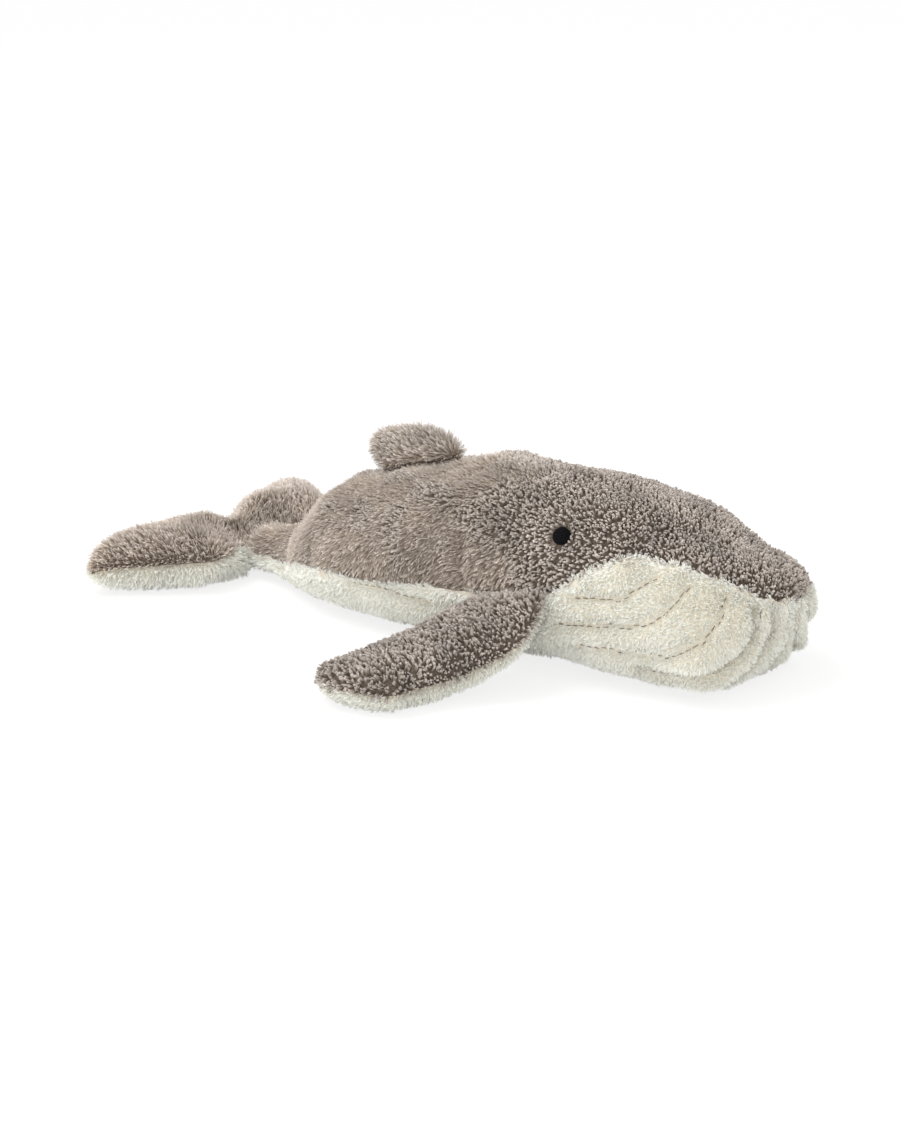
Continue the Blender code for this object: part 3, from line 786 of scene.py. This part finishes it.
def strandMesh(name, root, tip, sideways, radius, shade, blunt):
    # A blunt strand is the same spike with its point in the cloth
    blunt = blunt[:, None]
    root, tip = np.where(blunt, tip, root), np.where(blunt, root, tip)
    crossways = unit(np.cross(tip - root, sideways))
    points = np.empty((len(root), len(strandCorners), 3))
    for index, (x, y, z) in enumerate(strandCorners):
        points[:, index] = root + (tip - root) * z + (sideways * x + crossways * y) * radius[:, None]
    points[..., 2] = np.maximum(points[..., 2], pile["floorGap"])
    faces = strandFaces[None] + (np.arange(len(root)) * len(strandCorners))[:, None, None]
    data = bpy.data.meshes.new(name)
    data.vertices.add(points.shape[0] * points.shape[1])
    data.vertices.foreach_set("co", points.astype(np.float32).ravel())
    data.loops.add(faces.size)
    data.polygons.add(faces.size // 3)
    data.polygons.foreach_set("loop_start", np.arange(0, faces.size, 3, dtype=np.int32))
    data.polygons.foreach_set("vertices", faces.astype(np.int32).ravel())
    data.update(calc_edges=True)
    across = np.clip(shade[:, None] + 0.008 * strandCorners[:, 0], 0.01, 0.99)
    upwards = 0.02 + 0.96 * np.where(blunt, 1 - strandCorners[:, 2], strandCorners[:, 2])
    places = np.stack((across, upwards), axis=-1)[:, strandFaces].astype(np.float32)
    data.uv_layers.new(name="OFBake").data.foreach_set("uv", places.ravel())
    data.shade_flat()
    return data


def middles(points, groups, otherwise):
    # The middle of each group of points
    sizes = np.bincount(groups, minlength=len(otherwise))[:, None]
    sums = np.stack([np.bincount(groups, way, len(otherwise)) for way in points.T], axis=-1)
    return np.where(sizes > 0, sums / np.maximum(sizes, 1), otherwise)


def growPile(panel, material, groom):
    # Strands stand on the panel's grid, gathered in tufts; groom says how they are combed
    fields = {"point": panel.points, "normal": panel.normals(), "share": panel.share, "turn": panel.turn}
    fields["along"], fields["across"] = panel.tangents()
    fields.update(panel.marks)
    fields.update({f"{mark}Way": panel.away(mark) for mark in panel.marks})
    middle = {key: (value[1:, 1:] + value[:-1, :-1]) / 2 for key, value in fields.items()}
    weight = panel.areas() * pile["density"] * groom(middle)["thick"]
    count = int(weight.sum())
    total = weight.ravel().cumsum()
    pick = np.searchsorted(total, (np.arange(count) + chance.random(count)) / count * total[-1])
    i, j = np.divmod(np.minimum(pick, len(total) - 1), panel.cells[1])
    s, t = chance.random((2, count))
    here = {key: panel.at(value, i, j, s, t) for key, value in fields.items()}
    for key in ("normal", "along", "across"):
        here[key] = unit(here[key])
    combed = groom(here)
    root, normal = here["point"], here["normal"]

    # Tufts: each strand joins the nearest of a few seats, which then move to the middle of their strands
    seats = root[chance.random(count) * combed["tuft"] < 1]
    for _ in range(pile["evening"]):
        tree = KDTree(len(seats))
        for index, seat in enumerate(seats):
            tree.insert(seat, index)
        tree.balance()
        tuft = np.array([tree.find(place)[1] for place in root])
        seats = middles(root, tuft, seats)
    own, shared = chance.normal(size=(4, count)), chance.normal(size=(4, len(seats)))[:, tuft]

    heading = unit(combed["heading"] - normal * (combed["heading"] * normal).sum(-1, keepdims=True))
    swing = combed["wild"] * (shared[0] + 0.3 * own[0])
    heading = heading * np.cos(swing)[:, None] + np.cross(normal, heading) * np.sin(swing)[:, None]
    length = combed["length"] * (1 + 0.1 * shared[1] + 0.1 * own[1])
    lean = np.clip(combed["lean"] * (1 + 0.16 * shared[2] + 0.1 * own[2]), 0.05, 1.45)
    # Pile that points down at the floor is pressed flat between it and the cloth
    room = np.where(normal[:, 2] < -0.02, root[:, 2] / np.maximum(-normal[:, 2], 0.02), 1)
    lean = np.maximum(lean, np.arccos(np.clip(0.9 * room / length, 0, 1)))
    sideways = unit(np.cross(normal, heading))

    way = normal * np.cos(lean)[:, None] + heading * np.sin(lean)[:, None]
    way = way + sideways * (0.12 * own[3])[:, None]
    tip = root + way * length[:, None]
    tip += combed["gather"][:, None] * (middles(tip, tuft, seats)[tuft] - tip)
    # Each groom's tone is painted light and shade by region. It is added to each strand's shade together
    # with a random tone per tuft and per strand.
    shade = 0.5 + combed["tone"] + 0.09 * shared[3] + 0.06 * own[1]
    # Smooth patches of lighter and darker pile: partly random tone, partly painted sheen of the brushed
    # pile.
    shade += 0.14 * waves(root, 0.03, 21) + 0.08 * waves(root, 0.009, 22)
    radius = pile["radius"] * combed["width"] * (1 + 0.15 * own[2]).clip(0.6, 1.4)
    blunt = chance.random(count) < combed["blunt"]
    pieces = max(math.ceil(count / pile["strandsInPiece"]), 1)
    for number, part in enumerate(np.array_split(np.arange(count), pieces), 1):
        name = panel.name.replace("_panel", "_pile") + (f"_{number}" if pieces > 1 else "")
        seat = root[part] - normal[part] * pile["rooted"]
        tone = shade[part].clip(0.03, 0.97)
        data = strandMesh(name, seat, tip[part], sideways[part], radius[part], tone, blunt[part])
        data.materials.append(material)
        piece = link(name, data)
        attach(piece, panel.body)
    return count


def even(here, value):
    return np.full(here["point"].shape[:-1], float(value))


def combTogether(here, backwards, downwards):
    # Combed over the body: backwards is towards the tail, downwards is down its side
    down = unit(here["across"]) * here["downSign"][..., None]
    return -unit(here["along"]) * backwards[..., None] + down * downwards[..., None]


def groomBack(here):
    # Long and combed down the flanks, curly on the head, and brushed over the seams of the limbs; the curly
    # pile is painted darker, as painted shade among its tufts
    here["downSign"] = even(here, -1)
    share, point = here["share"], here["point"]
    high = smoothStep(here["turn"] / 0.8)
    head = smoothStep((share - 0.6 + 0.14 * high + 0.05 * waves(point, 0.05, 34)) / 0.13)
    curl = np.maximum(head, 0.6 * high * smoothStep((waves(point, 0.035, 35) - 0.1) / 0.3))
    fromPupil = fromEye(point)
    eyeAway = np.linalg.norm(fromPupil, axis=-1)
    parted = 2.3 * np.exp(-np.maximum(eyeAway - eyes["radius"], 0) / 0.003)
    onTop = smoothStep((here["turn"] - 0.9) / 0.6)
    onRidge = np.exp(-(point[..., 1] / 0.005) ** 2) * (point[..., 2] > folds["ridgeAbove"])
    tail = 1 - smoothStep(share / 0.06)
    finMiddle, finWay = hinges["dorsal_fin"]
    finEnds = finMiddle - finWay * finRoot(), finMiddle + finWay * finRoot()
    nearFin = np.exp(-(awayFromLine(point, *finEnds) / 0.005) ** 2)
    partingTop, partingFoot = folds["dents"][2][:2]
    parting = np.exp(-(awayFromLine(point, partingTop, partingFoot) / 0.006) ** 2)
    ahead = point[..., 0] - partingFoot[0] + 0.21 * (point[..., 2] - partingFoot[2])
    backwards = 0.5 - 0.25 * head + waves(point, 0.05, 31) * 0.5 + 3 * tail + onRidge
    backwards -= 2.2 * parting * np.tanh(ahead / 0.0015)
    downwards = (1.25 - 0.65 * onTop + waves(point, 0.045, 32) * 0.4) * (1 - tail) * (1 - onRidge)
    length = 0.84 - 0.06 * curl + 0.7 * tail + 0.25 * nearFin
    return dict(
        heading=combTogether(here, backwards, downwards) + unit(fromPupil) * parted[..., None],
        wild=(0.35 + 0.75 * curl) / (1 + parted),
        lean=(1.0 - 0.5 * curl + waves(point, 0.04, 33) * 0.14) * (1 - 0.5 * nearFin),
        length=pile["length"] * length * np.where(eyeAway < 0.009, 0.75, 1),
        gather=0.24 + 0.42 * curl,
        tuft=3 + 6 * curl,
        blunt=0.12 + 0.78 * curl,
        width=0.92 + 0.33 * curl,
        # Painted shade: the curly pile is darker, standing in for the shade among its tufts
        tone=0.02 - 0.3 * curl,
        thick=np.where(eyeAway < eyes["radius"] + 0.0001, 0, 1 + 0.8 * nearFin),
    )


def groomBelly(here):
    # Short cream pile, pressed away from the rows of stitches and brushed over the seam, and painted darker
    # beside the seam as painted shade under the grey pile's edge
    here["downSign"] = np.where(here["point"][..., 1] > 0, 1, -1)
    point, row = here["point"], here["row"]
    nearSeam = np.exp(-(here["seam"] / 0.003) ** 2)
    nearRow = np.exp(-(row / 0.002) ** 2)
    beside = np.exp(-(row / 0.0036) ** 2)
    under = smoothStep((-unit(here["normal"])[..., 2] - 0.6) / 0.3)
    tail = 1 - smoothStep(here["share"] / 0.05)
    backwards = 0.3 + waves(point, 0.025, 41) * 0.5 + 3 * tail
    downwards = 0.8 + waves(point, 0.025, 42) * 0.4
    heading = combTogether(here, backwards, downwards) + here["rowWay"] * (2.5 * beside)[..., None]
    heading = heading - here["seamWay"] * (1.1 * nearSeam)[..., None]
    return dict(
        heading=heading,
        wild=0.6 - 0.2 * nearSeam - 0.3 * nearRow,
        lean=0.75 + 0.5 * nearSeam + waves(point, 0.02, 43) * 0.14,
        length=pile["length"] * (0.58 + 0.5 * tail + 0.04 * nearSeam) * (1 - 0.4 * nearRow),
        gather=0.24 - 0.12 * nearSeam,
        tuft=3.5 + 1.5 * nearSeam,
        blunt=0.3 + 0.4 * nearSeam,
        width=1.15 + 0.15 * nearSeam,
        # Painted shade: the cream pile is darker beside the seam, under the grey pile's edge
        tone=-0.35 * nearSeam,
        thick=np.where(row < 0.0005, 0.0, 1 + 0.5 * nearSeam) * (1 - 0.55 * under),
    )


def groomLimb(tipwards, rearwards, curl, lean, length, lower=False, root=0.0, tone=0.0):
    # rearwards is towards the rear edge of the limb; at the root the pile covers the seam
    # tone lightens or darkens the whole panel, as painted light and shade
    def groom(here):
        point, share, curled = here["point"], here["share"], even(here, curl)
        side = np.sign(share)[..., None]
        nearRoot = (1 - smoothStep(np.abs(share) / root)) if root else even(here, 0)
        ways = side * unit(here["along"]) * (tipwards - 2 * nearRoot * (1 - lower))[..., None]
        across = unit(here["across"]) * (-rearwards if lower else rearwards)
        bottom = smoothStep((-unit(here["normal"])[..., 2] - 0.6) / 0.3)
        nearEdge = np.exp(-(here["edge"] / 0.004) ** 2)
        return dict(
            heading=ways + across * ((1 + waves(point, 0.03, 51) * 0.5) * (1 - nearRoot))[..., None],
            wild=(0.35 + 0.7 * curled) * (1 - 0.6 * nearRoot),
            lean=lean * (1 - 0.35 * nearEdge) + waves(point, 0.03, 52) * 0.1,
            length=pile["length"] * (even(here, length) + 0.1 * nearEdge) * (1 - 0.6 * nearRoot * lower),
            gather=0.3 + 0.36 * curled,
            tuft=4 + 5.5 * curled,
            blunt=0.12 + 0.75 * curled,
            width=1 + 0.25 * curled,
            tone=even(here, tone),
            thick=(1 - 0.55 * bottom) * (1 + 0.15 * nearEdge) * (1 - (nearRoot > 0.85) * lower),
        )
    return groom


# Grey pile: the darkening towards the roots is painted shade deep in the pile; the paler tips are the
# fibres' own colour
greyPile = pileFinish("grey_pile", (0.1, 0.06, 0.04), (0.42, 0.345, 0.27), (0.78, 0.71, 0.655), 0.45, 0.8)
creamPile = pileFinish(
    "cream_pile", (0.74, 0.64, 0.48), (0.875, 0.865, 0.785), (0.925, 0.925, 0.87), 0.16, 0.2)
# Grey cloth: the backing's own colour, painted darker still as the shade deep between the tufts where it
# shows through
greyClothWithPaintedShade = clothFinish("grey_cloth", (0.13, 0.1, 0.08), (0.22, 0.18, 0.145))
rootCloth = clothFinish("root_cloth", (0.26, 0.22, 0.18), (0.4, 0.35, 0.3))
creamCloth = clothFinish("cream_cloth", (0.7, 0.61, 0.47), (0.86, 0.83, 0.73))
grooms = {"back_left_panel": groomBack, "back_right_panel": groomBack, "belly_panel": groomBelly}
# Painted shade: the flipper tops and the fin are painted darker
for sideName, side in bothSides:
    grooms[f"{sideName}_flipper_top_panel"] = groomLimb(0.4, 0.7, 0.9, 0.55, 0.85, root=0.09, tone=-0.3)
    grooms[f"{sideName}_flipper_bottom_panel"] = groomLimb(0.4, 0.7, 0.3, 0.85, 0.75, True, 0.08)
    grooms[f"dorsal_fin_{sideName}_panel"] = groomLimb(0.5, 0.8, 0.1, 0.9, 1.1, side > 0, 0.16, -0.18)
# Painted light: the fluke's top is painted paler, as the light falling on it from above
grooms["fluke_top_panel"] = groomLimb(0.35, 0.9, 0.15, 0.8, 0.95, tone=0.1)
grooms["fluke_bottom_panel"] = groomLimb(0.2, 0.7, 0.2, 0.75, 0.95, True)

strands = 0
for name, panel in panels.items():
    cream = "bottom" in name or "belly" in name
    sewPanel(panel, creamCloth if cream else greyClothWithPaintedShade)
    strands += growPile(panel, creamPile if cream else greyPile, grooms[name])
print("pile of", strands, "strands")


# Stitches

stitches = dict(length=0.0042, gap=0.0004, radius=0.00029, lift=0.0006)
brownThread = threadFinish("brown_thread", (0.16, 0.12, 0.08), (0.28, 0.215, 0.155), 0.7, 0.3)
blackThread = threadFinish("black_thread", (0.0008, 0.0008, 0.001), (0.012, 0.012, 0.014), 0.6, 0.06)


def clothTree(*names):
    # The cloth's outer surface, to lay stitches and eyes on
    joined = bmesh.new()
    for name in names:
        joined.from_mesh(bpy.data.objects[name].data)
    tree = BVHTree.FromBMesh(joined)
    joined.free()
    return tree


def addStitch(mesh, start, end, outward, radius):
    # One stitch: a slim pip from start to end
    along = (end - start).normalized()
    across = outward.cross(along).normalized()
    turned = Matrix((along, across, along.cross(across))).transposed().to_4x4()
    size = Matrix.Diagonal(((end - start).length / 2, radius, radius, 1))
    placed = Matrix.Translation((start + end) / 2) @ turned @ size
    bmesh.ops.create_uvsphere(mesh, u_segments=6, v_segments=5, radius=1, matrix=placed)


def sewRow(name, tree, line, node):
    points = [Vector(point) for point in line]
    mesh = bmesh.new()
    pitch = stitches["length"] + stitches["gap"]
    passed, start = 0, None
    for near, far in zip(points, points[1:]):
        if start is None and passed % pitch < stitches["length"]:
            start = near
        passed += (far - near).length
        if start is not None and passed % pitch > stitches["length"]:
            place, outward, _, _ = tree.find_nearest((start + far) / 2)
            shift = place + outward * stitches["lift"] - (start + far) / 2
            addStitch(mesh, start + shift, far + shift, outward, stitches["radius"])
            start = None
    piece = finished(name, mesh, brownThread, "torso")
    if node:
        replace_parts(piece, node)


bellyTree = clothTree("belly_cloth")
for sideName, side in bothSides:
    for number, row in enumerate(throatRows, 1):
        node = f"throat_stitches_{number}_{sideName}"
        sewRow(f"throat_row_{number}_{sideName}", bellyTree, rowLine(row, side, 700), node)
    sewRow(f"belly_row_{sideName}", bellyTree, rowLine(bellyRow, side, 700), None)

closing = dict(fromShare=0.3, toShare=0.46, pitch=0.0035, halfWidth=0.0019)


def sewClosing():
    # Hand stitches that cross the seam on the left flank to and fro
    tree = clothTree("belly_cloth", "back_left_cloth")
    mesh = bmesh.new()
    count = round((closing["toShare"] - closing["fromShare"]) * body["length"] / closing["pitch"])
    share = np.linspace(closing["fromShare"], closing["toShare"], count + 1)
    swing = closing["halfWidth"] / body["halfWidth"] * np.where(np.arange(count + 1) % 2, 1, -1)
    line = bodySurface(share, seamTurn(share, 1) + swing, 1, cloth["inset"])
    seats = [tree.find_nearest(Vector(point)) for point in line]
    for near, far in zip(seats, seats[1:]):
        lift = near[1] * stitches["lift"]
        addStitch(mesh, near[0] + lift, far[0] + lift, near[1], stitches["radius"])
    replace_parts(finished("closing_row", mesh, brownThread, "torso"), "closing_stitches")


sewClosing()


def sewEyes():
    # Satin stitch: threads side by side over a padded disc
    for sideName, side in bothSides:
        aim = Vector(eyeSeat(side, 0))
        place, outward, _, _ = clothTree(f"back_{sideName}_cloth").find_nearest(aim)
        turned = outward.to_track_quat("Z", "Y").to_matrix().to_4x4()
        seat = Matrix.Translation(place + outward * eyes["lift"]) @ turned
        mesh = bmesh.new()
        for index in range(eyes["threads"]):
            across = (2 * (index + 0.5) / eyes["threads"] - 1) * eyes["radius"]
            half = math.sqrt(max(eyes["radius"] ** 2 - across * across, 0))
            size = Matrix.Diagonal((half, eyes["threadWidth"], eyes["threadHeight"], 1))
            flat = Matrix.Translation((0, across, 0)) @ size
            made = bmesh.ops.create_uvsphere(mesh, u_segments=8, v_segments=8, radius=1, matrix=flat)
            for vert in made["verts"]:
                share = min((vert.co.x ** 2 + vert.co.y ** 2) / eyes["radius"] ** 2, 1)
                vert.co.z += eyes["dome"] * math.sqrt(1 - share)
        pad = Matrix.Diagonal((eyes["radius"], eyes["radius"], eyes["dome"], 1))
        bmesh.ops.create_uvsphere(mesh, u_segments=24, v_segments=12, radius=1, matrix=pad)
        bmesh.ops.transform(mesh, matrix=seat, verts=mesh.verts)
        piece = finished(f"satin_eye_{sideName}", mesh, blackThread, "torso")
        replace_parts(piece, f"{sideName}_eye")


sewEyes()
print("stitches and eyes")


# Roots of the limbs: a web of cloth along the hinge, and the whip stitches along it

roots = dict(
    inward=0.0045, outward=0.0018, wall=0.001, webShare=0.97, bendReach=0.002,
    flukeShare=0.125, finShare=0.94, stitchRadius=0.0007, pitch=0.0023, thread=0.00024,
)


def sewRoot(name, child, along, outward, half, seat=None):
    # The web stands along outward, and its hidden edge goes into the body against seat
    hinge = hinges[child][0]
    seat = outward if seat is None else seat
    mesh = bmesh.new()
    bmesh.ops.create_grid(mesh, x_segments=24, y_segments=8, size=1)
    for vert in mesh.verts:
        reach = -roots["inward"] + (vert.co.y + 1) / 2 * (roots["inward"] + roots["outward"])
        way = outward if reach > 0 else seat
        vert.co = hinge + along * half * roots["webShare"] * vert.co.x + way * reach
    bmesh.ops.solidify(mesh, geom=mesh.faces[:], thickness=roots["wall"])
    bmesh.ops.recalc_face_normals(mesh, faces=mesh.faces)
    web = finished(f"{name}_web", mesh, rootCloth, None)
    bend = outward * roots["bendReach"]
    hinge - bend
    hinge + bend
    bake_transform(web)

    upward = np.cross(along, outward)
    count = round(2 * half / roots["pitch"])
    angles = np.linspace(0, 2 * np.pi * count, count * 10 + 1)[:, None]
    line = hinge + along * half * (angles / angles[-1] * 2 - 1)
    line = line + (outward * np.cos(angles) + upward * np.sin(angles)) * roots["stitchRadius"]
    curve = bpy.data.curves.new(f"{name}_stitches", "CURVE")
    curve.dimensions, curve.bevel_depth, curve.bevel_resolution = "3D", roots["thread"], 1
    curve.use_fill_caps = True
    spline = curve.splines.new("POLY")
    spline.points.add(len(line) - 1)
    spline.points.foreach_set("co", np.hstack((line, np.ones((len(line), 1)))).ravel())
    route = link(f"{name}_route", curve)
    data = bpy.data.meshes.new_from_object(route)
    bpy.data.objects.remove(route)
    data.name = f"{name}_stitches"
    data.shade_smooth()
    data.materials.clear()
    data.materials.append(brownThread)
    piece = link(f"{name}_stitches", data)
    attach(piece, "torso")
    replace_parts(piece, f"{child}_seam_thread")


for sideName, side in bothSides:
    along = hinges[f"{sideName}_flipper"][1]
    outward = unit(side * np.cross(up, along))
    sewRoot(f"{sideName}_flipper_root", f"{sideName}_flipper", along, outward, flipper["halfChord"])
sewRoot("fluke_root", "fluke", left, np.array((-1.0, 0, 0)), fluke["halfSpan"] * roots["flukeShare"])
along, upward, outward = finWays()
sewRoot("dorsal_fin_root", "dorsal_fin", along, outward, finRoot() * roots["finShare"], upward)


# Filling: a lumpy roll of fibre in each pocket

filling = dict(bodyDepth=0.0105, limbDepth=0.0065, finShare=0.7, lump=0.108, lumpSize=0.014)
fibre = clothFinish("fibre_filling", (0.82, 0.82, 0.8), (0.93, 0.93, 0.92))


def stuff(node, bodyName, surface, depth, middleShare, halfShare):
    # surface takes a share and an angle all the way round
    mesh = bmesh.new()
    bmesh.ops.create_uvsphere(mesh, u_segments=28, v_segments=40, radius=1)
    ball = np.array([vert.co for vert in mesh.verts])
    share = middleShare + halfShare * ball[:, 2]
    turn = np.arctan2(ball[:, 1], ball[:, 0])
    quarter = np.full(len(ball), quarterTurn)
    middle = (surface(share, quarter, depth) + surface(share, -quarter, depth)) / 2
    draw = np.sqrt(np.clip(1 - ball[:, 2] ** 2, 0, 1)) ** 0.3
    points = middle + (surface(share, turn, depth) - middle) * draw[:, None]
    points += (points - middle) * (waves(points, filling["lumpSize"], 61) * filling["lump"])[:, None]
    for vert, point in zip(mesh.verts, points):
        vert.co = point
    bmesh.ops.recalc_face_normals(mesh, faces=mesh.faces)
    piece = finished(node.replace("stuffing", "filling"), mesh, fibre, bodyName)
    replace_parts(piece, node)


def wholeBody(share, turn, depth):
    return bodySurface(share, np.arcsin(np.sin(turn)), np.where(np.cos(turn) < 0, -1, 1), depth)


stuff("body_stuffing", "torso", wholeBody, filling["bodyDepth"], 0.5, 0.47)
for sideName, side in bothSides:
    child = f"{sideName}_flipper"
    stuff(f"{child}_stuffing", child, flipperOn(side), filling["limbDepth"], 0.5, 0.45)
stuff("fluke_stuffing", "fluke", flukeSurface, filling["limbDepth"], 0, 0.93)
finDepth = filling["limbDepth"] * filling["finShare"]
stuff("dorsal_fin_stuffing", "dorsal_fin", finSurface, finDepth, 0.45, 0.36)
print("roots and filling")
